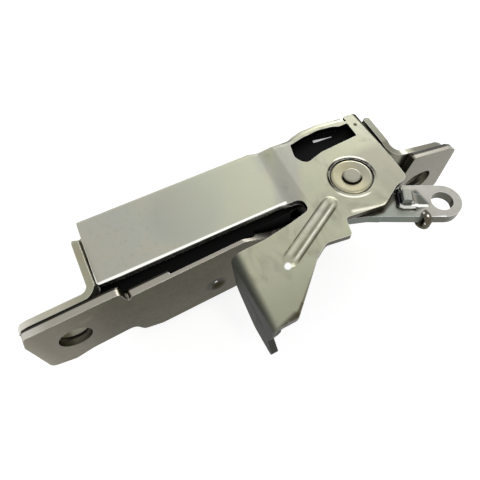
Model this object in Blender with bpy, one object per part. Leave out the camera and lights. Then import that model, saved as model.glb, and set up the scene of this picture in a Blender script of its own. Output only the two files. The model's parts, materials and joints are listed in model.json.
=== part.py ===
"""Side door lock: a long pressed-steel latch with a bolt ear at each end.

Every length below is in millimetres. X runs along the lock from the left ear to the right
ear, the front plate faces -Y, and the long flat face of the cover looks up (+Z). Drawn with
the front plate's face at Y = 0 and the cover's flat face at Z = 0, then the whole lock is
moved so that the middle of its bounding box is the origin.
"""

import math

import bmesh
import bpy
from mathutils import Vector
from mathutils.geometry import delaunay_2d_cdt

# Fits and sheet thicknesses
GAP = 0.3
PLATE_T = 2.5
BRACKET_T = 2.0
COVER_T = 2.0
LEVER_T = 3.0
CATCH_T = 4.5
INNER_T = 2.0
STEP_H = 2.0

# Front plate and ears
EAR_TOP = 2.1
EDGE_Z = -1.9
EAR_LEFT = -21.6
EAR_RIGHT = 118.0
PLATE_BOTTOM = -27.0
EAR_BOTTOM = -20.2
LEFT_HOLE = (-10.8, -9.2)
RIGHT_HOLE = (105.4, -16.4)
HOLE_R = 4.5
RIGHT_HOLE_HALF_SLOT = 1.1
DIMPLE = (30.8, -19.4)
DIMPLE_R = 2.9
NOTCH_X = 5.9
MOUTH_X = 74.5
MOUTH_HALF = 5.2
MOUTH_TOP = -14.6
LEVER_CUT_Z = -9.2

# Rear bracket
LEFT_WALL_X = 0.0
RIGHT_WALL_X = 92.2
RIGHT_LEAN = 1.2
LEFT_LEAN = 0.3
BACK_LEFT_Y = 22.9
BACK_RIGHT_Y = 19.3

# Cover plate
BEND_R = 3.0
ARM_X = 36.6
ARM_BEND_R = 2.4
RIB_H = 0.9
RIB_A = (66.4, -2.7)
RIB_B = (47.6, -12.6)
RIB_R = 2.5

# Pivot of the release lever
PIVOT = (77.2, 2.2)
HEAD_R = 6.1
BOSS_R = 2.6
SHANK_R = 4.5
NECK_R = 3.4

# Release lever
EYE = (95.5, -16.3)
EYE_R = 5.4
EYE_HOLE_R = 3.1
LEVER_WAY = (0.868, -0.4965)
LEVER_TOP = -0.3
TAB_H = 3.1
SPRING_ROOM = 4.2
LEG_R = 0.65
CLIP_R = 1.0
COIL_R = SHANK_R + LEG_R + 0.55
FINGER_LOW = -11.6

# Catch and pawl
CATCH_AXIS = (61.0, -16.5)
CATCH_R = 16.0
SLOT_HALF = 3.4
PAWL_AXIS = (84.0, -23.4)
LAYER_Y = 6.0
PIN_R = 3.0
INNER_Y = 13.0

MM = 0.001
MADE = []


def arc(cx, cy, r, a0, a1, n):
    """Points on an arc, angles in degrees."""
    out = []
    for i in range(n + 1):
        a = math.radians(a0 + (a1 - a0) * i / n)
        out.append((cx + r * math.cos(a), cy + r * math.sin(a)))
    return out


def rounded(corners, n=4):
    """Polygon from (x, y, radius) corners, each rounded by its radius."""
    out = []
    count = len(corners)
    for i in range(count):
        x, y, r = corners[i]
        p = Vector((x, y))
        a = Vector(corners[i - 1][:2]) - p
        b = Vector(corners[(i + 1) % count][:2]) - p
        if r <= 0:
            out.append((x, y))
            continue
        half = a.angle(b) / 2
        cut = min(r / math.tan(half), 0.49 * a.length, 0.49 * b.length)
        r = cut * math.tan(half)
        a.normalize()
        b.normalize()
        middle = p + (a + b).normalized() * (r / math.sin(half))
        start = p + a * cut - middle
        end = p + b * cut - middle
        turn = math.atan2(start.x * end.y - start.y * end.x, start.dot(end))
        for k in range(n + 1):
            c = math.cos(turn * k / n)
            s = math.sin(turn * k / n)
            out.append((middle.x + start.x * c - start.y * s, middle.y + start.x * s + start.y * c))
    return out


def inside(p, polygon):
    """True where p lies inside the closed polygon."""
    hit = False
    for i in range(len(polygon)):
        x0, y0 = polygon[i - 1]
        x1, y1 = polygon[i]
        if (y0 > p[1]) != (y1 > p[1]):
            if p[0] < x0 + (p[1] - y0) * (x1 - x0) / (y1 - y0):
                hit = not hit
    return hit


def capsule(a, b, r, n=8):
    """Outline at distance r round the line from a to b."""
    angle = math.degrees(math.atan2(b[1] - a[1], b[0] - a[0]))
    return arc(a[0], a[1], r, angle + 90, angle + 270, n) + arc(b[0], b[1], r, angle - 90, angle + 90, n)


def to_line(p, a, b):
    """Distance from p to the segment from a to b."""
    ax, ay = b[0] - a[0], b[1] - a[1]
    t = ((p[0] - a[0]) * ax + (p[1] - a[1]) * ay) / (ax * ax + ay * ay)
    t = min(1, max(0, t))
    return math.hypot(p[0] - a[0] - t * ax, p[1] - a[1] - t * ay)


def flat_mesh(outline, holes, lines):
    """Triangles of a flat outline with holes, with extra lines kept as edges."""
    points = []
    edges = []
    for ring in [outline] + holes:
        first = len(points)
        points += [Vector(p) for p in ring]
        edges += [(first + i, first + (i + 1) % len(ring)) for i in range(len(ring))]
    for line in lines:
        first = len(points)
        points += [Vector(p) for p in line]
        edges += [(first + i, first + i + 1) for i in range(len(line) - 1)]
    verts, _, faces, _, _, _ = delaunay_2d_cdt(points, edges, [], 0, 1e-5)
    kept = []
    for face in faces:
        x = sum(verts[i].x for i in face) / 3
        y = sum(verts[i].y for i in face) / 3
        if inside((x, y), outline) and not any(inside((x, y), hole) for hole in holes):
            kept.append(tuple(face))
    return verts, kept


def material(name, colour, metallic, roughness):
    """A plain Principled material."""
    made = bpy.data.materials.new(name)
    made.use_nodes = True
    shader = made.node_tree.nodes["Principled BSDF"]
    shader.inputs["Base Color"].default_value = (*colour, 1.0)
    shader.inputs["Metallic"].default_value = metallic
    shader.inputs["Roughness"].default_value = roughness
    made.diffuse_color = (*colour, 1.0)
    return made


def finish(name, mesh, colour, metallic, roughness, origin, made=True):
    """Object from a bmesh in millimetres, with its origin on the given point."""
    bmesh.ops.remove_doubles(mesh, verts=mesh.verts, dist=1e-4)
    loose = [v for v in mesh.verts if not v.link_faces]
    bmesh.ops.delete(mesh, geom=loose, context="VERTS")
    bmesh.ops.recalc_face_normals(mesh, faces=mesh.faces)
    if mesh.calc_volume(signed=True) < 0:
        bmesh.ops.reverse_faces(mesh, faces=mesh.faces)
    for v in mesh.verts:
        v.co = (v.co - Vector(origin)) * MM
    data = bpy.data.meshes.new(name)
    mesh.to_mesh(data)
    mesh.free()
    data.shade_smooth()
    data.set_sharp_from_angle(angle=math.radians(28))
    obj = bpy.data.objects.new(name, data)
    obj.location = Vector(origin) * MM
    bpy.context.collection.objects.link(obj)
    data.materials.append(material(name + "_look", colour, metallic, roughness))
    if made:
        MADE.append(obj)
    return obj


def sheet(outline, holes, lines, place):
    """Closed bmesh of a sheet: place(u, v, side) gives the point, side 0 or 1."""
    verts, faces = flat_mesh(outline, holes, lines)
    mesh = bmesh.new()
    rows = [[mesh.verts.new(place(v.x, v.y, side)) for v in verts] for side in (0, 1)]
    count = {}
    for face in faces:
        for k in range(3):
            key = (face[k], face[(k + 1) % 3])
            count[key] = count.get(key, 0) + 1
        mesh.faces.new([rows[1][i] for i in face])
        mesh.faces.new([rows[0][i] for i in reversed(face)])
    for a, b in count:
        if (b, a) not in count:
            mesh.faces.new([rows[1][b], rows[1][a], rows[0][a], rows[0][b]])
    return mesh


def slab_xy(outline, holes, z0, z1):
    """Prism of a plan outline between two heights."""
    return sheet(outline, holes, [], lambda u, v, s: (u, v, z1 if s else z0))


def slab_xz(outline, holes, y0, y1):
    """Prism of a front-view outline between two depths."""
    return sheet(outline, holes, [], lambda u, v, s: (u, y0 if s else y1, v))


def lathe(profile, place, n=40):
    """Closed turned body: profile is a closed loop of (radius, height)."""
    mesh = bmesh.new()
    rings = []
    for r, h in profile:
        if r < 1e-6:
            rings.append([mesh.verts.new(place(0, 0, h))])
        else:
            ring = []
            for i in range(n):
                a = 2 * math.pi * i / n
                ring.append(mesh.verts.new(place(r * math.cos(a), r * math.sin(a), h)))
            rings.append(ring)
    for i in range(len(rings)):
        a, b = rings[i - 1], rings[i]
        if len(a) == 1 and len(b) == 1:
            continue
        for k in range(n):
            m = (k + 1) % n
            if len(a) == 1:
                mesh.faces.new([a[0], b[k], b[m]])
            elif len(b) == 1:
                mesh.faces.new([a[k], b[0], a[m]])
            else:
                mesh.faces.new([a[k], b[k], b[m], a[m]])
    return mesh


def wire(path, r, n=10):
    """Round wire along a path of points, with flat ends."""
    mesh = bmesh.new()
    points = [Vector(p) for p in path]
    rings = []
    side = None
    for i, p in enumerate(points):
        ahead = points[min(i + 1, len(points) - 1)] - points[max(i - 1, 0)]
        ahead.normalize()
        if side is None:
            side = ahead.orthogonal().normalized()
        side = (side - ahead * side.dot(ahead)).normalized()
        up = ahead.cross(side)
        ring = []
        for k in range(n):
            a = 2 * math.pi * k / n
            ring.append(mesh.verts.new(p + side * (r * math.cos(a)) + up * (r * math.sin(a))))
        rings.append(ring)
    for a, b in zip(rings, rings[1:]):
        for k in range(n):
            m = (k + 1) % n
            mesh.faces.new([a[k], a[m], b[m], b[k]])
    mesh.faces.new(list(reversed(rings[0])))
    mesh.faces.new(rings[-1])
    return mesh


def cut(obj, cutter, operation="DIFFERENCE"):
    """Applies one exact Boolean and removes the cutter."""
    cutter.hide_render = True
    cutter.display_type = "WIRE"
    step = obj.modifiers.new("cut", "BOOLEAN")
    step.operation = operation
    step.solver = "EXACT"
    step.object = cutter
    bpy.context.view_layer.update()
    graph = bpy.context.evaluated_depsgraph_get()
    data = bpy.data.meshes.new_from_object(obj.evaluated_get(graph))
    obj.modifiers.clear()
    data.shade_smooth()
    data.set_sharp_from_angle(angle=math.radians(28))
    obj.data = data
    bpy.data.objects.remove(cutter, do_unlink=True)


def cutter(mesh):
    """Scratch object for a Boolean."""
    return finish("cutter", mesh, (0.5, 0.5, 0.5), 0.0, 0.5, (0, 0, 0), made=False)


def piecewise(x, table):
    """Straight-line value of a table of (x, value) at x."""
    if x <= table[0][0]:
        return table[0][1]
    for (x0, v0), (x1, v1) in zip(table, table[1:]):
        if x <= x1:
            return v0 + (v1 - v0) * (x - x0) / (x1 - x0)
    return table[-1][1]


def smooth(t):
    """Eased step from 0 to 1."""
    t = min(1, max(0, t))
    return t * t * (3 - 2 * t)


ZINC = (0.52, 0.52, 0.46)
BLACK = (0.02, 0.02, 0.02)


def ear_hole(centre, r, half):
    """Bolt hole outline, slotted along X by half."""
    x, z = centre
    return arc(x + half, z, r, -90, 90, 16) + arc(x - half, z, r, 90, 270, 16)


def front_outline():
    """Front view of the front plate, anticlockwise from the lower left."""
    right_top = EAR_TOP - 3.2
    m = MOUTH_HALF
    ring = [
        (EAR_LEFT, EAR_BOTTOM + 0.6, 2.2),
        (-15.2, EAR_BOTTOM - 1.6, 1.5),
        (-9.5, EAR_BOTTOM - 0.2, 3.0),
        (3.4, EAR_BOTTOM + 0.3, 2.5),
        (5.4, PLATE_BOTTOM + 2.2, 2.5),
        (11.0, PLATE_BOTTOM, 3.0),
        (MOUTH_X - m - 1.5, PLATE_BOTTOM, 1.5),
        (MOUTH_X - m, PLATE_BOTTOM + 4, 2.0),
        (MOUTH_X - m, MOUTH_TOP, m),
        (MOUTH_X + m, MOUTH_TOP, m),
        (MOUTH_X + m, -18.6, 0.8),
        (88.0, PLATE_BOTTOM, 2.0),
        (EAR_RIGHT - 0.6, PLATE_BOTTOM, 3.0),
        (EAR_RIGHT + 0.2, right_top - 6.2, 2.2),
        (115.0, right_top - 4.2, 1.8),
        (99.6, right_top, 0.7),
        (98.0, -7.4, 1.5),
        (94.5, LEVER_CUT_Z, 1.5),
        (62.0, LEVER_CUT_Z, 3.0),
        (50.0, EDGE_Z - 4.6, 3.0),
        (40.6, EDGE_Z, 2.5),
        (NOTCH_X + 0.9, EDGE_Z, 1.0),
        (NOTCH_X + 0.4, EDGE_Z - 1.3, 0.3),
        (NOTCH_X - 0.3, EDGE_Z - 0.8, 0.3),
        (NOTCH_X - 1.0, EAR_TOP - 0.2, 1.6),
        (1.5, EAR_TOP, 1.0),
        (EAR_LEFT + 1.4, EAR_TOP, 1.6),
        (EAR_LEFT, EAR_TOP - 4.5, 2.0),
    ]
    return rounded(ring, 5)


def front_plate():
    """Thick plate facing the viewer, with both bolt holes, mouth and dimple."""
    holes = [ear_hole(LEFT_HOLE, HOLE_R, 0), ear_hole(RIGHT_HOLE, HOLE_R, RIGHT_HOLE_HALF_SLOT)]
    mesh = slab_xz(front_outline(), holes, 0, PLATE_T)
    obj = finish("front_plate", mesh, ZINC, 0.9, 0.42, (0, 0, 0))
    x, z = DIMPLE
    bowl_r = (DIMPLE_R * DIMPLE_R + 0.81) / 1.8
    profile = [(0, -bowl_r)]
    for i in range(1, 16):
        a = math.radians(-90 + 12 * i)
        profile.append((bowl_r * math.cos(a), bowl_r * math.sin(a)))
    profile[-1] = (0, bowl_r)
    bowl = lathe(profile, lambda u, v, h: (x + u, 0.9 - bowl_r + h, z + v), 28)
    cut(obj, cutter(bowl))
    edge = slab_xy([(18.4, 1.15), (45.0, 1.15), (45.0, 3.5), (18.4, 3.5)], [], EDGE_Z - 2.4, 1)
    cut(obj, cutter(edge))
    return obj


def bracket_path():
    """Pieces of the bracket's inner line: straight runs and bends, with their lengths."""
    front = PLATE_T + GAP
    corners = [
        (EAR_LEFT + 0.4, front, 0),
        (LEFT_WALL_X, front, 4.0),
        (LEFT_WALL_X + LEFT_LEAN, BACK_LEFT_Y, 2.0),
        (RIGHT_WALL_X + RIGHT_LEAN, BACK_RIGHT_Y, 0.8),
        (RIGHT_WALL_X, front, 5.0),
        (EAR_RIGHT - 1.4, front, 0),
    ]
    runs = []
    at = Vector(corners[0][:2])
    for i in range(1, len(corners)):
        p = Vector(corners[i][:2])
        way = (p - Vector(corners[i - 1][:2])).normalized()
        if i == len(corners) - 1:
            runs.append(("line", at, way, (p - at).length, None))
            break
        onward = (Vector(corners[i + 1][:2]) - p).normalized()
        turn = math.atan2(way.x * onward.y - way.y * onward.x, way.dot(onward))
        r = corners[i][2]
        back = r * math.tan(abs(turn) / 2)
        stop = p - way * back
        runs.append(("line", at, way, (stop - at).length, None))
        left = Vector((-way.y, way.x))
        middle = stop + left * (r if turn > 0 else -r)
        runs.append(("bend", stop, way, r * abs(turn), (middle, turn)))
        at = p + onward * back
    return runs


RUNS = bracket_path()


def on_path(u):
    """Point on the bracket's inner line at length u, with the direction to its outside."""
    for kind, start, way, length, bend in RUNS:
        if u <= length + 1e-9 or (kind, start) == RUNS[-1][:2]:
            if kind == "line":
                return start + way * u, Vector((-way.y, way.x))
            middle, turn = bend
            a = turn * u / length
            arm = start - middle
            c, s = math.cos(a), math.sin(a)
            p = middle + Vector((arm.x * c - arm.y * s, arm.x * s + arm.y * c))
            left = Vector((-way.y, way.x))
            return p, Vector((left.x * c - left.y * s, left.x * s + left.y * c))
        u -= length
    return None


def rear_bracket():
    """Hat-shaped sheet behind the front plate: ears, end walls and back wall."""
    ends = [0]
    for run in RUNS:
        ends.append(ends[-1] + run[3])
    total = ends[-1]
    wall_l, back_l, back_r, wall_r = ends[2], ends[3], ends[6], ends[7]
    top = [
        (0.0, EAR_TOP - 2.2),
        (1.2, EAR_TOP - 0.5),
        (3.0, EAR_TOP),
        (back_l - 1.2, EAR_TOP),
        (back_l - 0.2, 1.8),
        (back_l + 0.5, 1.2),
        (back_l + 0.95, 0.2),
        (back_l + 1.1, -2.6),
        (back_r - 0.75, -2.6),
        (back_r - 0.55, 0.8),
        (back_r - 0.1, STEP_H - 0.1),
        (wall_r - 0.5, STEP_H - 0.1),
        (ends[8] + 1.5, -1.4),
        (total - 3.6, -5.6),
        (total - 1.0, -7.4),
        (total, -9.6),
    ]
    low = [
        (0.0, EAR_BOTTOM + 2.4),
        (2.0, EAR_BOTTOM + 0.4),
        (ends[1] - 1.0, EAR_BOTTOM),
        (wall_l + 1.0, -24.6),
        (wall_r - 1.0, -24.6),
        (ends[8] + 1.0, -25.8),
        (total - 2.0, -25.8),
        (total, -23.6),
    ]
    outline = list(low) + list(reversed(top))
    lines = []
    for i, run in enumerate(RUNS):
        if run[0] == "bend":
            for k in range(9):
                u = ends[i] + run[3] * k / 8
                lines.append([(u, -40), (u, 20)])
    first = EAR_LEFT + 0.4
    left = ear_hole((LEFT_HOLE[0] - first, LEFT_HOLE[1]), HOLE_R, 0)
    right = ear_hole((total - (EAR_RIGHT - 1.4 - RIGHT_HOLE[0]), RIGHT_HOLE[1]), HOLE_R, RIGHT_HOLE_HALF_SLOT)

    def place(u, v, side):
        p, out = on_path(min(max(u, 0), total))
        p = p + out * (BRACKET_T * side)
        return (p.x, p.y, v)

    mesh = sheet(outline, [left, right], lines, place)
    return finish("rear_bracket", mesh, ZINC, 0.9, 0.42, (0, 0, 0))


FLANGE_Y = [
    (-2.0, 29.8), (56.0, 27.5), (62.0, 25.2), (68.6, 24.5), (70.5, 25.2), (74.0, 26.0),
    (79.5, 25.9), (84.0, 25.1), (87.75, 24.4), (88.3, 40.0), (94.0, 40.0),
]


def cover_height(x, y):
    """Height of the cover's upper face before the back bend."""
    low = 55.5 + 0.11 * max(y, 0)
    high = 61.8 + 0.06 * max(y, 0)
    ramp = smooth((x - low) / (high - low))
    z = STEP_H * (1 - (1 - ramp) * smooth(y / 3.0))
    d = to_line((x, y), RIB_A, RIB_B)
    return z + RIB_H * smooth((RIB_R - d) / 1.5)


def cover_place(x, y, side):
    """Folds the flat cover: back bend along the far edge, side bend along the arm."""
    deep = 0.0 if side else COVER_T
    start = piecewise(x, FLANGE_Y) - BEND_R
    if y > start:
        z = cover_height(x, start)
        s = y - start
        a = min(s / BEND_R, math.pi / 2)
        rest = max(0.0, s - BEND_R * math.pi / 2)
        r = BEND_R - deep
        return (x, start + r * math.sin(a), z - BEND_R + r * math.cos(a) - rest)
    if x < ARM_X and y < 0:
        s = ARM_X - x
        a = min(s / ARM_BEND_R, math.pi / 2)
        rest = max(0.0, s - ARM_BEND_R * math.pi / 2)
        r = ARM_BEND_R - deep
        return (ARM_X - r * math.sin(a), y, STEP_H - ARM_BEND_R + r * math.cos(a) - rest)
    return (x, y, cover_height(x, y) - deep)


def cover_outline():
    """Flat cover with its flanges unfolded, anticlockwise from the near left corner."""
    quarter = BEND_R * math.pi / 2
    fold = ARM_BEND_R * math.pi / 2

    def far(x, drop):
        return piecewise(x, FLANGE_Y) - BEND_R + quarter + drop

    def side(z):
        return ARM_X - fold - (STEP_H - ARM_BEND_R - z)

    flange = [
        (side(-2.5), -4.9, 1.0),
        (side(-11.2), -6.6, 2.0),
        (side(-13.8), -9.0, 2.0),
        (side(-20.2), -17.0, 4.0),
        (side(-20.3), -26.6, 1.6),
        (side(-17.6), -27.0, 1.0),
        (side(-13.4), -24.4, 1.5),
        (side(-6.0), -26.2, 3.0),
        (side(-1.0), -27.2, 1.0),
    ]
    ring = [
        (0.3, 6.35, 0.9),
        (6.6, 5.95, 0),
        (55.0, 4.6, 2.0),
        (60.6, 2.9, 2.6),
        (60.4, -1.6, 1.9),
        (53.3, -2.95, 3.0),
        (45.0, -4.0, 3.0),
        (ARM_X + 0.5, -4.1, 1.0),
    ] + flange + [
        (ARM_X + 0.6, -27.0, 0),
        (41.3, -27.0, 2.2),
        (54.4, -15.2, 4.0),
        (58.6, -12.8, 3.0),
        (66.0, -14.1, 0.9),
        (67.5, -8.7, 1.2),
        (79.4, -10.5, 2.0),
        (86.4, -6.7, 4.0),
        (90.6, -5.9, 2.2),
        (91.1, -2.4, 1.0),
        (92.5, 22.5, 1.0),
        (88.45, 23.3, 0.5),
        (88.45, 21.1, 0.2),
        (87.75, 21.1, 0.2),
        (87.7, far(87.7, 3.0), 0.0),
    ]
    right = [(87.2, far(87.2, 5.4))]
    back = [(x, far(x, 6.0)) for x in (86.6, 84.0, 79.5, 74.0, 70.5, 68.6, 64.0, 62.0, 56.0, 30.0, 4.0)]
    left = [(1.6, far(1.6, 4.0)), (1.1, 26.8)]
    return rounded(ring + [(x, y, 0) for x, y in right + back + left], 4)


def window():
    """Opening through the raised face near the back bend."""
    ring = [
        (68.0, 21.2, 0.4), (72.7, 22.0, 6.0), (78.5, 22.3, 8.0), (83.4, 21.2, 3.0), (85.0, 20.3, 1.0),
        (88.1, 20.2, 0.5), (87.7, 14.5, 0.3), (74.6, 14.2, 3.0), (68.4, 12.6, 2.2), (66.6, 16.4, 3.0),
    ]
    return rounded(ring, 4)


def cover_plate():
    """One pressed sheet: flat face, step, raised face, arm with rib, both flanges."""
    lines = []
    span = [p[0] for p in FLANGE_Y]
    for k in range(9):
        lines.append([(x, piecewise(x, FLANGE_Y) - BEND_R + BEND_R * math.pi / 2 * k / 8) for x in span])
    for k in range(9):
        t = k / 8
        near, far = 3.0, 26.0
        a = (55.5 + 0.11 * near) * (1 - t) + (61.8 + 0.06 * near) * t
        b = (55.5 + 0.11 * far) * (1 - t) + (61.8 + 0.06 * far) * t
        lines.append([(a, near), (b, far), (b, 50)])
        lines.append([(55.5 * (1 - t) + 61.8 * t, 0), (a, near)])
    for y in (0.0, 0.75, 1.5, 2.25, 3.0):
        lines.append([(55.0, y), (63.0, y)])
    for k in range(7):
        x = ARM_X - ARM_BEND_R * math.pi / 2 * k / 6
        lines.append([(x, -2.0), (x, -32.0)])
    for d in (1.4, 1.8, 2.15, 2.5, 2.9):
        ring = capsule(RIB_A, RIB_B, d)
        lines.append(ring + ring[:1])
    lines.append([RIB_A, RIB_B])
    mesh = sheet(cover_outline(), [window()], lines, cover_place)
    obj = finish("cover_plate", mesh, ZINC, 0.9, 0.4, (0, 0, 0))
    x, y = PIVOT
    r = HEAD_R + 0.35
    floor = STEP_H - 0.9
    neck = NECK_R + GAP
    profile = [(0, -8), (neck, -8), (neck, floor), (r, floor), (r, 6), (0, 6)]
    cut(obj, cutter(lathe(profile, lambda u, v, h: (x + u, y + v, h), 56)))
    return obj


def pivot_rivet():
    """Stepped rivet that the release lever turns on."""
    x, y = PIVOT
    floor = STEP_H - 0.9 + 0.05
    bottom = LEVER_TOP - LEVER_T - SPRING_ROOM
    profile = [
        (0, STEP_H + 0.75),
        (BOSS_R - 0.35, STEP_H + 0.75),
        (BOSS_R, STEP_H + 0.45),
        (BOSS_R + 0.1, STEP_H - 0.12),
        (HEAD_R - 0.9, STEP_H + 0.16),
        (HEAD_R - 0.3, STEP_H + 0.05),
        (HEAD_R, STEP_H - 0.35),
        (HEAD_R, floor),
        (NECK_R, floor),
        (NECK_R, -GAP + 0.05),
        (SHANK_R, -GAP + 0.05),
        (SHANK_R, bottom),
        (COIL_R + 0.8, bottom),
        (COIL_R + 0.8, bottom - 1.0),
        (0, bottom - 1.0),
    ]
    mesh = lathe(profile, lambda u, v, h: (x + u, y + v, h), 56)
    return finish("pivot_rivet", mesh, (0.6, 0.58, 0.5), 0.9, 0.35, (x, y, 0))


def on_lever(along, across):
    """Plan point measured from the eyelet: along towards its end, across to the far side."""
    return (
        EYE[0] + LEVER_WAY[0] * along - LEVER_WAY[1] * across,
        EYE[1] + LEVER_WAY[1] * along + LEVER_WAY[0] * across,
    )


def lever_outline():
    """Plan of the release lever, anticlockwise from the eyelet, with a notch for the spring leg."""
    turn = math.degrees(math.atan2(LEVER_WAY[1], LEVER_WAY[0]))
    eye = arc(EYE[0], EYE[1], EYE_R, turn - 90, turn + 90, 20)
    x, y = PIVOT
    hub = arc(x, y, 9.4, -38, 172, 20)
    notch = [on_lever(-10.9, EYE_R), on_lever(-10.9, 2.35), on_lever(-13.1, 2.35), on_lever(-13.1, EYE_R)]
    rest = rounded([(66.9, -5.4, 2.0), (68.4, -8.2, 1.4), (74.4, -10.5, 3.0), (80.3, -14.0, 4.0)], 4)
    return eye + notch + hub + rest


def release_lever():
    """Thick lever with eyelet, curved bent-up tab and bent-down finger."""
    x, y = PIVOT
    low = LEVER_TOP - LEVER_T
    holes = [
        arc(EYE[0], EYE[1], EYE_HOLE_R, 0, 360, 28)[:-1],
        arc(x, y, SHANK_R + GAP, 0, 360, 40)[:-1],
    ]
    mesh = slab_xy(lever_outline(), holes, low, LEVER_TOP)
    obj = finish("release_lever", mesh, (0.56, 0.57, 0.55), 0.95, 0.32, (x, y, 0))
    tab = [
        (-11.6, -1.0), (-4.6, -1.0), (-4.6, -0.05), (-5.5, 0.0), (-6.8, 0.25), (-7.9, 0.8), (-8.7, 1.6),
        (-9.2, TAB_H - 0.4), (-9.6, TAB_H), (-11.3, TAB_H), (-11.6, TAB_H - 0.3),
    ]

    def place(u, v, side):
        p = on_lever(u, 2.1 if side else -1.8)
        return (p[0], p[1], LEVER_TOP + v)

    cut(obj, cutter(sheet(tab, [], [], place)), "UNION")
    finger = [(77.8, 8.9), (79.3, 8.9), (79.3, 11.4), (77.8, 11.4)]
    part = slab_xy(finger, [], FINGER_LOW, LEVER_TOP - 0.5)
    cut(obj, cutter(part), "UNION")
    return obj


def lever_spring():
    """Torsion spring under the lever, with a leg that comes up beside the tab."""
    x, y = PIVOT
    r = COIL_R
    top = LEVER_TOP - LEVER_T - LEG_R - 0.15
    over = LEVER_TOP + LEG_R + 0.1
    low = top - 1.95
    path = [(84.3, 6.9, low), (81.0, 7.6, low)]
    for i in range(43):
        a = math.radians(85 + 12.5 * i)
        path.append((x + r * math.cos(a), y + r * math.sin(a), low + (top - low) * i / 42))
    leg = [
        (-14.0, 3.9, top), (-12.5, 4.4, top + 0.2), (-12.0, 4.5, top + 1.0), (-11.95, 4.3, top + 2.2),
        (-11.95, 3.9, over - 1.8), (-12.0, 3.3, over - 0.7), (-12.1, 2.6, over - 0.1),
        (-12.3, 1.8, over), (-12.35, -1.6, over), (-12.1, -2.3, over), (-11.4, -2.6, over),
        (-9.4, -2.6, over), (-7.7, -2.5, over),
    ]
    path += [on_lever(a, b) + (z,) for a, b, z in leg]
    return finish("lever_spring", wire(path, LEG_R), (0.1, 0.1, 0.1), 0.9, 0.35, (x, y, 0))


def spring_clip():
    """Dark wire clip hooked round the near edge of the lever."""
    over = LEVER_TOP + CLIP_R + 0.1
    under = LEVER_TOP - LEVER_T - CLIP_R - 0.1
    out = -(EYE_R + CLIP_R + 0.2)
    side = [(-4.6, over)]
    for k in range(7):
        a = math.radians(15 * k)
        side.append((out + 1.6 * (1 - math.sin(a)), over - 1.6 * (1 - math.cos(a))))
    for k in range(7):
        a = math.radians(15 * k)
        side.append((out + 1.6 * (1 - math.cos(a)), under + 1.6 * (1 - math.sin(a))))
    side.append((-3.4, under))
    path = []
    for i, (across, z) in enumerate(side):
        along = -6.5 + 1.6 * math.sin(math.pi * i / (len(side) - 1))
        path.append(on_lever(along, across) + (z,))
    return finish("spring_clip", wire(path, CLIP_R, 12), BLACK, 0.6, 0.35, (PIVOT[0], PIVOT[1], 0))


def inner_cover():
    """Black moulded sheet under the cover, with a front lip, seen through slot and window."""
    low, raised, thick = -4.1, -1.7, 1.5
    ring = rounded([
        (-2.4, 2.8, 0), (18.6, 2.8, 0.2), (18.9, 1.5, 0.2), (44.5, 1.5, 0.2), (44.8, 2.8, 0.2),
        (57.6, 2.8, 2.5), (60.0, 6.0, 1.5), (61.0, 12.6, 1.0), (91.6, 12.6, 1.0), (92.0, 20.2, 1.5),
    ], 4)
    far = [(88.0, 20.4), (87.0, 21.7), (84.0, 22.5), (79.5, 23.2), (74.0, 23.3), (70.0, 22.4), (68.6, 21.4)]
    far += [(64.6, 19.2), (61.0, 18.4), (3.0, 19.5), (0.9, 18.3), (0.35, 17.0), (0.35, 6.4), (-0.9, 3.7)]
    lines = [[(x, -5), (x, 30)] for x in (61.2, 61.8, 62.6, 63.6, 64.4, 65.0)]

    def place(u, v, side):
        z = low + (raised - low) * smooth((u - 61.2) / 3.8)
        return (u, v, z + thick * side)

    obj = finish("inner_cover", sheet(ring + far, [], lines, place), BLACK, 0.0, 0.45, (0, 0, 0))
    lip = slab_xz([(38.0, -11.2), (57.4, -11.2), (57.4, low + 0.8), (38.0, low + 0.8)], [], 2.8, 4.2)
    cut(obj, cutter(lip), "UNION")
    return obj


def catch():
    """Forked catch on its pin, drawn open, with its slot towards the mouth."""
    cx, cz = CATCH_AXIS
    middle = -67.5
    half = math.degrees(math.asin(SLOT_HALF / CATCH_R))
    ring = arc(cx, cz, CATCH_R, middle + half, middle + 27, 5)
    ring += arc(cx, cz, 8.4, middle + 55, middle + 300, 20)
    ring += arc(cx, cz, CATCH_R, middle - 36, middle - half, 7)
    a = math.radians(middle)
    way = Vector((math.cos(a), math.sin(a)))
    left = Vector((-way.y, way.x))
    bottom = Vector((cx, cz)) + way * 10.2
    for k in range(1, 8):
        b = math.pi * k / 8
        p = bottom - left * (SLOT_HALF * math.cos(b)) - way * (SLOT_HALF * math.sin(b))
        ring.append((p.x, p.y))
    hole = arc(cx, cz, PIN_R + GAP, 0, 360, 32)[:-1]
    mesh = slab_xz(ring, [hole], LAYER_Y, LAYER_Y + CATCH_T)
    return finish("catch", mesh, BLACK, 0.0, 0.38, (cx, LAYER_Y, cz))


def pawl():
    """Pawl on its pin, its nose beside the rim of the catch."""
    px, pz = PAWL_AXIS
    nose = CATCH_AXIS[0] + CATCH_R + 0.45
    hub = arc(px, pz, 4.0, 200, 360, 10)
    ring = hub + [(px + 3.6, pz + 2.5), (84.6, -16.0), (83.4, -9.6), (81.2, -9.2), (80.3, -10.0)]
    ring += [(80.3, -15.4), (nose + 0.5, -16.2), (nose, -16.8), (nose, -18.6), (nose + 0.5, -19.2)]
    hole = arc(px, pz, PIN_R - 0.6 + GAP, 0, 360, 28)[:-1]
    mesh = slab_xz(ring, [hole], LAYER_Y, LAYER_Y + CATCH_T)
    return finish("pawl", mesh, (0.5, 0.5, 0.46), 0.9, 0.4, (px, LAYER_Y, pz))


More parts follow.
